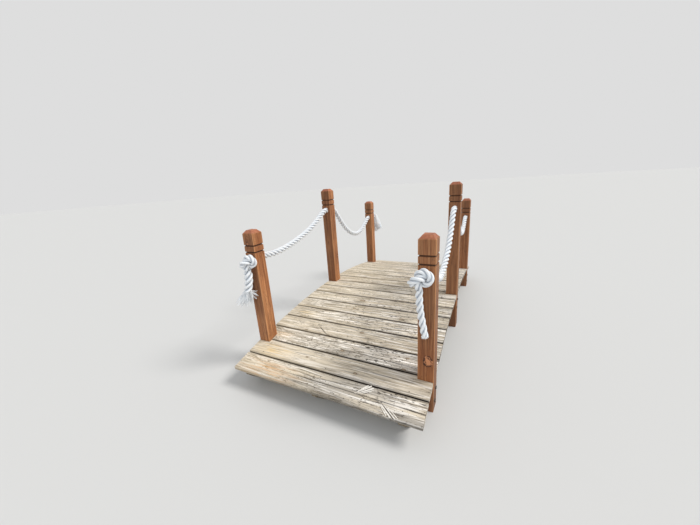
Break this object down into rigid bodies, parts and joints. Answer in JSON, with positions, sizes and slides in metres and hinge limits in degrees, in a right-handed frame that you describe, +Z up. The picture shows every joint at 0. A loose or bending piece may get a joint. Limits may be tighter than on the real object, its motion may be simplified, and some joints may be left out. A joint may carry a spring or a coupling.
{
  "type": "garden footbridge",
  "caption": "Small arched wooden garden footbridge with crosswise deck boards, grooved bevel-topped posts and a sagging white rope handrail knotted at the end posts.",
  "frame": {"origin": "on the ground under the middle of the deck, midway between the post rows", "axes": "+X across the deck to the right seen from the near end, +Y along the bridge to the far end, +Z up"},
  "size_m": [1.299, 2.6282, 1.219],
  "materials": {
    "weathered_pine": "weathered, dry, bare",
    "stained_cedar": "orange-brown stain, satin",
    "frame_timber": "dark, damp, rough sawn",
    "white_rope": "white three-strand twisted rope"
  },
  "bodies": {
    "root": {"deck_board_01": "weathered_pine", "deck_board_02": "weathered_pine", "deck_board_03": "weathered_pine", "deck_board_04": "weathered_pine", "deck_board_05": "weathered_pine", "deck_board_06": "weathered_pine", "deck_board_07": "weathered_pine", "deck_board_08": "weathered_pine", "deck_board_09": "weathered_pine", "deck_board_10": "weathered_pine", "deck_board_11": "weathered_pine", "deck_board_12": "weathered_pine", "deck_board_13": "weathered_pine", "deck_board_14": "weathered_pine", "deck_board_15": "weathered_pine", "deck_board_16": "weathered_pine", "deck_board_17": "weathered_pine", "deck_board_18": "weathered_pine", "post_left_near": "stained_cedar", "post_left_mid": "stained_cedar", "post_left_far": "stained_cedar", "post_right_near": "stained_cedar", "post_right_mid": "stained_cedar", "post_right_far": "stained_cedar", "stringer_left": "frame_timber", "stringer_middle": "frame_timber", "stringer_right": "frame_timber", "block_left_near": "frame_timber", "block_left_mid": "frame_timber", "block_left_far": "frame_timber", "block_right_near": "frame_timber", "block_right_mid": "frame_timber", "block_right_far": "frame_timber", "rope_left": "white_rope", "knot_left_near": "white_rope", "rope_tail_left_near": "white_rope", "knot_left_far": "white_rope", "rope_tail_left_far": "white_rope", "rope_right": "white_rope", "knot_right_near": "white_rope", "rope_tail_right_near": "white_rope", "knot_right_far": "white_rope", "rope_tail_right_far": "white_rope"}
  },
  "joints": []
}
